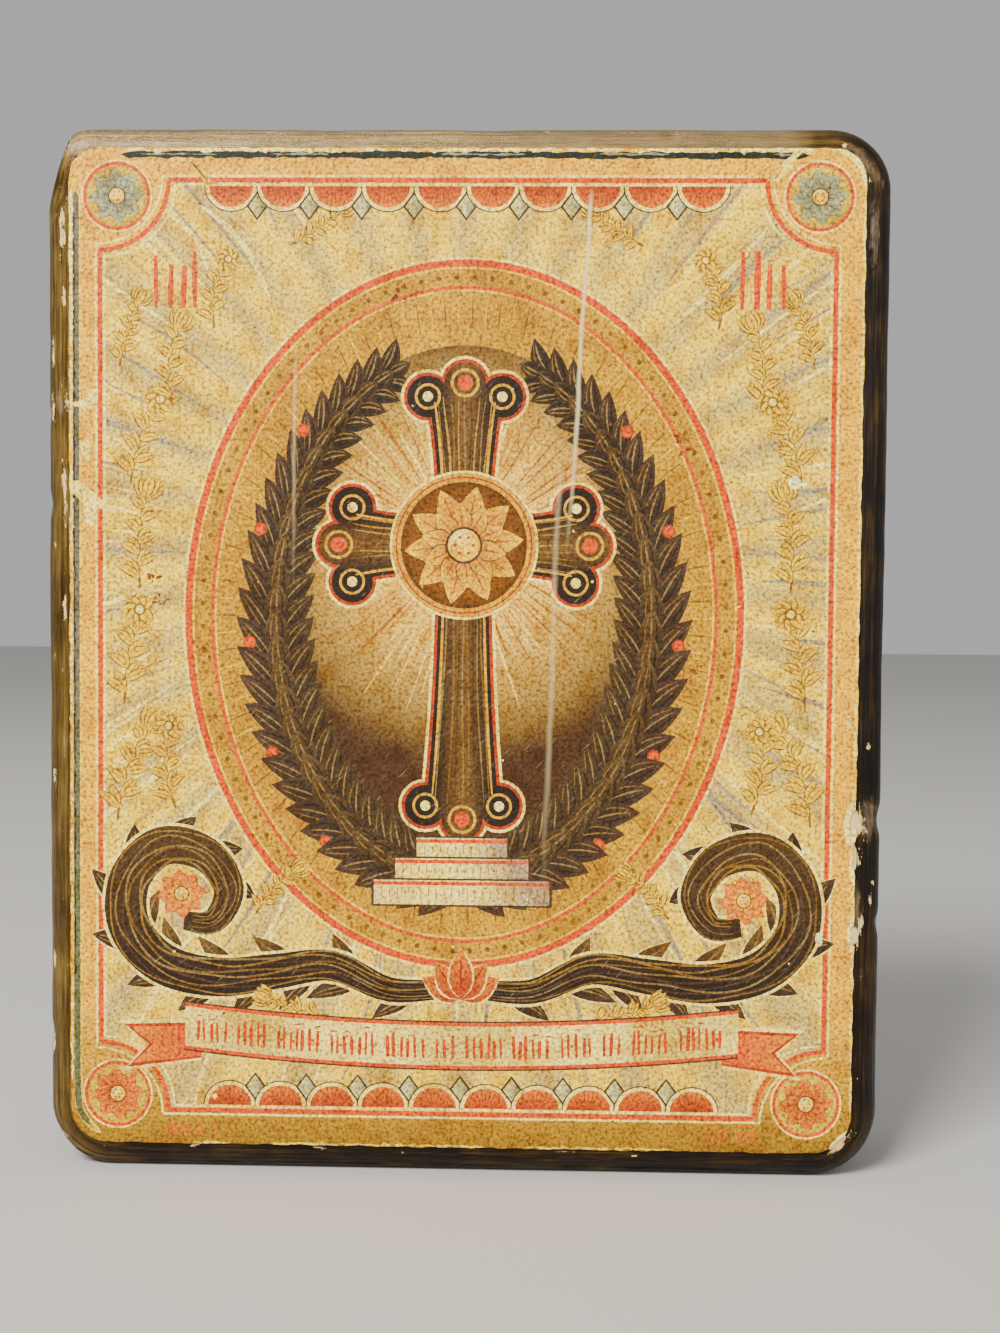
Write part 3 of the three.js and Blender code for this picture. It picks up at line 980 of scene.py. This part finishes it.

# %% [markdown]
# Last come the sheet's edges, its wear and two painted highlights. A grey strip shows along the left and
# a blue-black one along the top, where the print's own border wraps onto the shoulder; pale grey dashes
# on the top one are painted glints. Outside them the torn paper and primer show cream, broken here and
# there, and a thin pale line along the foot is a painted highlight. Shapes with no wash are bites: the
# sheet is gone there.


# %% Dark strip and torn edges
def strip(points, width, wash, seed, reach=0.25, size=0.9):
    """A band along a line whose two sides tremble differently."""
    line = np.asarray(points, float)
    dense = []
    for a, b in zip(line[:-1], line[1:]):
        count = max(1, int(np.linalg.norm(b - a) / 0.6))
        dense += [a + (b - a) * k / count for k in range(count)]
    line = np.array(dense + [line[-1]])
    across = sideways(line)
    wave = [[reach * noise.noise(Vector((x * size, z * size, seed + k))) for k in (0, 5)] for x, z in line]
    wave = np.array(wave) + width / 2
    count = np.arange(len(line))
    ease = np.minimum(1, np.minimum(count, count[::-1]) / 2)[:, None]
    fill(np.vstack([line + across * wave[:, :1] * ease, (line - across * wave[:, 1:] * ease)[::-1]]), wash)


PRIMER = "#fbf0c8"
left_in, top_in = sheet_left + 1.25, sheet_top - 1.15
steel = blend("#6b686c", "#5f6a60", lambda x, z: (85 - z) / 60)
bends = ((3.6, 5.6), (1.2, 8.0), (0.1, 12), (0, 30), (0, 90), (0, 152))
turned = through([(left_in + x, z) for x, z in bends], 4)
strip(turned, 1.25, flat("#efd48a"), 3, 0.12)
strip(turned[2:] - (0.1, 0), 1.0, steel, 1, 0.12)
strip([(left_in - 0.4, 30), (left_in - 0.4, 150)], 0.2, flat(NAVY), 6, 0.3)
strip([(-53, top_in), (0, top_in), (52, top_in - 0.1)], 1.0, flat(NAVY), 2, 0.3)
# Pale grey dashes along the top strip: painted glints where its sheen would catch the light.
for a, b in ((-50, -38), (-30, -21), (-4, 9), (20, 31), (46, 51)):
    strip([(a, top_in + 0.1), (b, top_in + 0.1)], 0.25, flat("#8a9498"), a, 0.3)
for a, b, width in (
    (128, 152, 0.6), (112, 127, 0.3), (98, 110, 0.5), (70, 88, 0.2), (40, 62, 0.15), (14, 30, 0.25),
):
    strip([(sheet_left + 0.35, a), (sheet_left + 0.35, b)], width, flat(PRIMER), a, 0.6, 1.4)
for a, b, width in ((-53, -12, 0.55), (-11, 24, 0.35), (25, 53, 0.65)):
    strip([(a, sheet_top - 0.35), (b, sheet_top - 0.35)], width, flat(PRIMER), a, 0.55, 1.3)
for a, b, width in ((10, 30, 0.35), (31, 46, 0.75), (46, 62, 1.1), (64, 76, 0.5), (78, 152, 0.4)):
    strip([(sheet_right - 0.3, a), (sheet_right - 0.3, b)], width, flat("#fae7ae"), a, 0.25)
turn = np.radians(np.linspace(-8, 96, 14))
bend_line = np.stack([sheet_right - 5.1 + 4.75 * np.cos(turn), sheet_top - 5.1 + 4.75 * np.sin(turn)], 1)
strip(bend_line, 1.0, flat("#fdf3c4"), 4, 0.35)
# A thin pale line along the foot of the sheet: a painted highlight on its lower edge.
for a, b in ((-42, -36), (-30, 4), (10, 33)):
    strip([(a, sheet_foot + 0.3), (b, sheet_foot + 0.3)], 0.3, flat("#e2cf93"), a, 0.5)

# %% Scars in the print, and the bites
for scar in (
    ((-61.0, 107.4), (-59.5, 107.6), (-57.0, 105.4), (-53.6, 102.6), (-56.6, 103.2), (-57.4, 102.4),
     (-56.6, 101.2), (-57.6, 100.6), (-58.8, 101.4), (-58.6, 103.6), (-60.0, 105.2), (-60.9, 106.0)),
    ((-60.9, 119.0), (-57.4, 118.6), (-56.7, 120.0), (-57.0, 121.8), (-57.9, 121.4), (-58.4, 119.9),
     (-60.9, 119.6)),
    ((-59.2, 113.4), (-58.0, 113.8), (-57.6, 111.4), (-58.2, 110.4), (-59.2, 111.6)),
    ((47.4, 155.6), (48.5, 155.4), (51.6, 158.4), (50.6, 158.6)),
    ((46.8, 153.4), (47.2, 153.1), (49.4, 155.6), (48.6, 155.9)),
    ((59.0, 70.4), (59.6, 70.3), (59.5, 72.4), (58.9, 72.5)),
    ((-38.9, 11.9), (-38.3, 12.4), (-37.8, 11.7), (-38.4, 11.3)),
):
    fill(wavered(np.array(scar), 0.15, 1.3, 2), flat("#fff3bd"))
fill(wavered(circle(50.4, 107.9, 0.95, 20), 0.25, 1.2, 1), flat("#fffdf0"))
fill(wavered(circle(51.8, 107.6, 0.5, 12, 0.35), 0.2, 1.2, 1), flat("#fffbe6"))
fill(wavered(circle(55.2, 37.8, 0.5, 14, 1.0), 0.3, 1.2, 1), flat("#f1ece4"))
stroke(through(((-42.4, 156.6), (-41.2, 155.2), (-40.0, 153.8), (-39.2, 152.6))), 1.0, flat("#e8b93c"))
stroke(through(((-42.2, 156.2), (-41.0, 154.9), (-39.8, 153.4))), 0.35, flat("#7d5a1c"))
stroke(((-40.6, 152.6), (-39.4, 153.0), (-38.4, 152.8)), 0.9, flat("#f2cb52"))
for x, z, reach in (
    (34.0, 112.8, 1.2), (32.8, 115.2, 0.7), (-9.8, 136.2, 1.4), (-46.8, 89.0, 1.2), (-40.6, 80.6, 1.3),
    (36.4, 79.6, 0.8), (-48.2, 92.4, 0.7),
):
    for k in range(7):
        spot_x, spot_z = x + rng.gauss(0, reach * 0.7), z + rng.gauss(0, reach * 0.8)
        spot = circle(spot_x, spot_z, rng.uniform(0.15, 0.55), 10, rng.uniform(0.12, 0.4))
        fill(wavered(spot, 0.3, 1.6, k), flat(rng.choice(("#8a4a18", "#6e3c18", "#a5651f"))))
for k in range(90):
    x, z = rng.uniform(-58, 58), rng.uniform(8, 155)
    speck = circle(x, z, rng.uniform(0.1, 0.24), 6)
    fill(speck, flat(rng.choice(("#fbedbb", "#5d4021", "#fbedbb", "#7b5a2e"))))
for x, z, across, along, turn in (
    (sheet_right, 55.6, 1.3, 2.7, 0), (sheet_right, 50.4, 0.6, 3.2, 0),
    (sheet_right, 38.4, 0.8, 1.9, 0), (58.9, 5.9, 0.6, 2.3, -42),
):
    c, s = math.cos(math.radians(turn)), math.sin(math.radians(turn))
    loop = circle(0, 0, 1, 26) * (across, along) @ np.array([[c, s], [-s, c]])
    for grow, wash in ((1.5, flat("#fdf5cc")), (0.85, None)):
        fill(wavered(loop * grow + (x, z), 0.25, 1.1, z), wash)
print("shapes drawn:", len(shapes))

# %% [markdown]
# Now the drawing becomes a mesh. All the outlines and a lattice of loose points go into one constrained
# Delaunay triangulation. For each triangle the last shape that winds round its middle gives the colour,
# and a triangle that no shape covers, or a bite, is left out.

# %% Triangulating the drawing
LATTICE = 3.0  # it only breaks up long thin triangles
ROW = 0.866  # the height of an even triangle whose side is 1
points, edges = [], []
for loops, _ in shapes:
    for loop in loops:
        first = len(points)
        points += [Vector(p) for p in loop]
        count = len(loop)
        edges += [(first + i, first + (i + 1) % count) for i in range(count)]
rows = int((sheet_top - sheet_foot) / (LATTICE * ROW))
for j in range(1, rows):
    for i in range(1, int((sheet_right - sheet_left) / LATTICE)):
        x = sheet_left + (i + 0.5 * (j % 2)) * LATTICE
        points.append(Vector((x, sheet_foot + j * LATTICE * ROW)))
corners, _, triangles, *_ = delaunay_2d_cdt(points, edges, [], 0, 1e-3, False)
corners = np.array(corners)
triangles = np.array(triangles)
print("triangulated:", len(corners), "points,", len(triangles), "triangles")


# %% Which shape lies on top of each triangle
def winding(loops, at):
    """Whether closed loops go round each of the points; few points at a time, to spare memory."""
    inside = np.zeros(len(at), int)
    for first in range(0, len(at), 2000):
        px, pz = at[first : first + 2000, :1], at[first : first + 2000, 1:]
        for loop in loops:
            (x0, z0), (x1, z1) = loop.T, np.roll(loop, -1, axis=0).T
            side = (x1 - x0) * (pz - z0) - (px - x0) * (z1 - z0)
            rising = (z0 <= pz) & (z1 > pz) & (side > 0)
            falling = (z0 > pz) & (z1 <= pz) & (side < 0)
            inside[first : first + 2000] += rising.sum(1) - falling.sum(1)
    return inside != 0


centres = corners[triangles].mean(axis=1)
top_shape = np.full(len(triangles), -1)
by_x = np.argsort(centres[:, 0])
sorted_x = centres[by_x, 0]
for number, (loops, _) in enumerate(shapes):
    low, high = loops[0].min(axis=0), loops[0].max(axis=0)
    first, last = np.searchsorted(sorted_x, (low[0], high[0]))
    near = by_x[first:last]
    near = near[(centres[near, 1] >= low[1]) & (centres[near, 1] <= high[1])]
    top_shape[near[winding(loops, centres[near])]] = number
washes = [wash for _, wash in shapes]
keep = winding([outline], centres) & (top_shape >= 0)
keep &= np.array([washes[n] is not None for n in top_shape])
triangles, top_shape = triangles[keep], top_shape[keep]
print("kept:", len(triangles), "triangles")

# %% [markdown]
# The flat net gets its colours on the corners of its faces, then a rim: its open edge is drawn back by
# the paper's thickness and closed behind.

# %% The sheet as a piece
shades = np.zeros((len(triangles), 3, 3))
spots = corners[triangles]
for number in np.unique(top_shape):
    chosen = top_shape == number
    where = spots[chosen].reshape(-1, 2)
    shades[chosen] = washes[number](where[:, 0], where[:, 1]).reshape(-1, 3, 3)

sheet = bmesh.new()
colour_layer = sheet.loops.layers.float_color.new("print")
used, corner_of = np.unique(triangles, return_inverse=True)
verts = [sheet.verts.new((corners[i][0], sheet_front, corners[i][1])) for i in used]
for trio, shade in zip(corner_of.reshape(-1, 3), shades):
    face = sheet.faces.new([verts[i] for i in trio])
    for loop, tint in zip(face.loops, shade):
        loop[colour_layer] = (*tint, 1)
drawn = bmesh.ops.extrude_edge_only(sheet, edges=[e for e in sheet.edges if e.is_boundary])["geom"]
behind_verts = [g for g in drawn if isinstance(g, bmesh.types.BMVert)]
behind_edges = [g for g in drawn if isinstance(g, bmesh.types.BMEdge) and g.is_boundary]
bmesh.ops.translate(sheet, vec=(0, sheet_back - sheet_front, 0), verts=behind_verts)
bmesh.ops.triangle_fill(sheet, edges=behind_edges, use_beauty=True)
bmesh.ops.recalc_face_normals(sheet, faces=sheet.faces)
if sheet.calc_volume(signed=True) < 0:
    bmesh.ops.reverse_faces(sheet, faces=sheet.faces)
sheet.normal_update()
for face in sheet.faces:
    if face.normal.y > -0.5:
        for loop in face.loops:
            loop[colour_layer] = (*linear("#f0e3b8"), 1)
print("open edges:", sum(not e.is_manifold for e in sheet.edges), "volume", round(sheet.calc_volume()))
sheet_piece = finished("picture_sheet", sheet, "printed_sheet")

# %% [markdown]
# ## Printed paper under old varnish
#
# Offset print on paper, glued down and varnished: a fine dot grain, a cloudy yellowing that deepens
# every colour, small brown stains, and a few pale cracks that run with the board's grain. The varnish
# is satin, brushed on in wide strokes, so its gloss is uneven. The grain is drawn at half a
# millimetre, coarser than the real dots, so that it shows.

# %% Print material
paper, tree = material("varnished_offset_print")
place = add(tree, "TexCoord")["Object"]
seen = add(tree, "SeparateXYZ", (place,))
worked = add(tree, "Attribute", attribute_name="print")["Color"]
for size, detail, share, stops in (  # dots half a millimetre apart, 3 mm patches, 12 mm clouds
    (1900.0, 2.0, 1.0, ((0.34, 0.35), (0.5, 1.0), (0.66, 1.45))),
    (300.0, 4.0, 0.7, ((0.3, "#c9a878"), (0.55, "#ffffff"))),
    (80.0, 5.0, 0.45, ((0.3, "#d8b67c"), (0.5, "#ffffff"), (0.75, "#fff4d8"))),
):
    grain = add(tree, "TexNoise", {"Vector": place, "Scale": size, "Detail": detail, "Roughness": 0.6})[0]
    tint = add(tree, "ValToRGB", (grain,), stops)[0]
    inputs = {"Factor": share, 6: worked, 7: tint}
    worked = add(tree, "Mix", inputs, data_type="RGBA", blend_type="MULTIPLY")[2]
inputs = {"Factor": 1.0, 6: worked, 7: "#fff4bc"}
worked = add(tree, "Mix", inputs, data_type="RGBA", blend_type="MULTIPLY")[2]
inputs = {"Hue": 0.506, "Saturation": 1.12, "Value": 1.24, "Color": worked}
worked = add(tree, "HueSaturation", inputs)[0]

# %% Scratches and stains
slanted = add(tree, "VectorRotate", {"Vector": place, "Axis": (0, 1, 0), "Angle": -0.8})[0]
for at, stretch, detail, roughness, stops, over in (
    (slanted, (3000.0, 3000.0, 420.0), 3.0, 0.6, ((0.62, 0.0), (0.74, 0.22)), "#f9e6a9"),
    (place, (170.0, 170.0, 170.0), 7.0, 0.75, ((0.68, 0.0), (0.73, 0.8)), "#8a5a2a"),
):
    at = add(tree, "Mapping", {"Vector": at, "Scale": stretch})[0]
    inputs = {"Vector": at, "Scale": 1.0, "Detail": detail, "Roughness": roughness}
    share = add(tree, "ValToRGB", (add(tree, "TexNoise", inputs)[0],), stops)[0]
    worked = add(tree, "Mix", {"Factor": share, 6: worked, 7: over}, data_type="RGBA")[2]

# %% Pale cracks
WANDER = 0.0012  # how far a crack strays from its line, in metres
wander = add(tree, "TexNoise", {"Vector": place, "Scale": 60.0, "Detail": 3.0, "Roughness": 0.6})[0]
for x, slope, low, high, width, strength in (
    (0.0165, 0.054, 0.096, 0.1495, 0.00045, 0.85),
    (0.0145, 0.03, 0.045, 0.108, 0.0006, 0.3),
    (-0.0262, 0.0, 0.091, 0.124, 0.0004, 0.35),
    (-0.0455, 0.02, 0.060, 0.084, 0.0003, 0.3),
):
    off = add(tree, "Math", (seen["X"], 0.107 * slope - x - WANDER / 2))[0]
    off = add(tree, "Math", (seen["Z"], -slope, off), operation="MULTIPLY_ADD")[0]
    off = add(tree, "Math", (wander, WANDER, off), operation="MULTIPLY_ADD")[0]
    off = add(tree, "Math", (off,), operation="ABSOLUTE")[0]
    share = 1.0
    for limits in (
        (off, 0.0, width, strength, 0.0),
        (seen["Z"], low, low + 0.02, 0.0, 1.0),
        (seen["Z"], high, high + 0.003, 1.0, 0.0),
    ):
        faded = add(tree, "MapRange", limits)[0]
        share = add(tree, "Math", (share, faded), operation="MULTIPLY")[0]
    worked = add(tree, "Mix", {"Factor": share, 6: worked, 7: "#f9e6a9"}, data_type="RGBA")[2]

# %% Satin varnish, with a 1.2 mm ripple and wide upright brush strokes
relief = add(tree, "TexNoise", {"Vector": place, "Scale": 800.0, "Detail": 3.0, "Roughness": 0.6})[0]
at = add(tree, "Mapping", {"Vector": place, "Scale": (260.0, 260.0, 22.0)})[0]
brushed = add(tree, "TexNoise", {"Vector": at, "Scale": 1.0, "Detail": 3.0, "Roughness": 0.6})[0]
inputs = {
    "Base Color": worked,
    "Roughness": add(tree, "ValToRGB", (brushed,), ((0.3, 0.4), (0.7, 0.6)))[0],
    "Normal": add(tree, "Bump", {"Strength": 0.3, "Distance": 0.0002, "Height": relief})[0],
    "Specular IOR Level": 0.25,
    "Coat Weight": 0.06,
    "Coat Roughness": 0.3,
}
add(tree, "OutputMaterial", (add(tree, "BsdfPrincipled", inputs)[0],))
sheet_piece.data.materials.append(paper)
print(paper.name, len(tree.nodes), "nodes")

# %% [markdown]
# ## The room
#
# A pale floor and soft light. The large key light stands high at the left, as in the picture, so the
# left and top edges glint and the right and lower ones fall dark.

# %% Floor, sky and lights
floor = bmesh.new()
bmesh.ops.create_grid(floor, x_segments=2, y_segments=2, size=3.0)
floor_piece = as_object("floor", floor)
plain, tree = material("pale_studio_floor")
shader = add(tree, "BsdfPrincipled", {"Base Color": "#c9c6c1", "Roughness": 0.85})[0]
add(tree, "OutputMaterial", (shader,))
floor_piece.data.materials.append(plain)

world = bpy.data.worlds.new("studio")
world.use_nodes = True
world.node_tree.nodes["Background"].inputs["Color"].default_value = (*linear("#e4e4e4"), 1)
world.node_tree.nodes["Background"].inputs["Strength"].default_value = 0.6
bpy.context.scene.world = world
for name, spot, aim, wide, power in (
    ("key", (-0.45, -0.7, 0.85), (0, 0, 0.09), 0.45, 20.0),
    ("fill", (0.8, -0.9, 0.35), (0, 0, 0.08), 0.9, 4.0),
):
    lamp = bpy.data.lights.new(name, "AREA")
    lamp.size = wide
    lamp.energy = power
    lamp.color = (1.0, 0.97, 0.93)
    light = bpy.data.objects.new(name, lamp)
    light.location = spot
    light.rotation_euler = (Vector(aim) - Vector(spot)).to_track_quat("-Z", "Y").to_euler()
    bpy.context.scene.collection.objects.link(light)
    print("lamp:", name, power, "W")
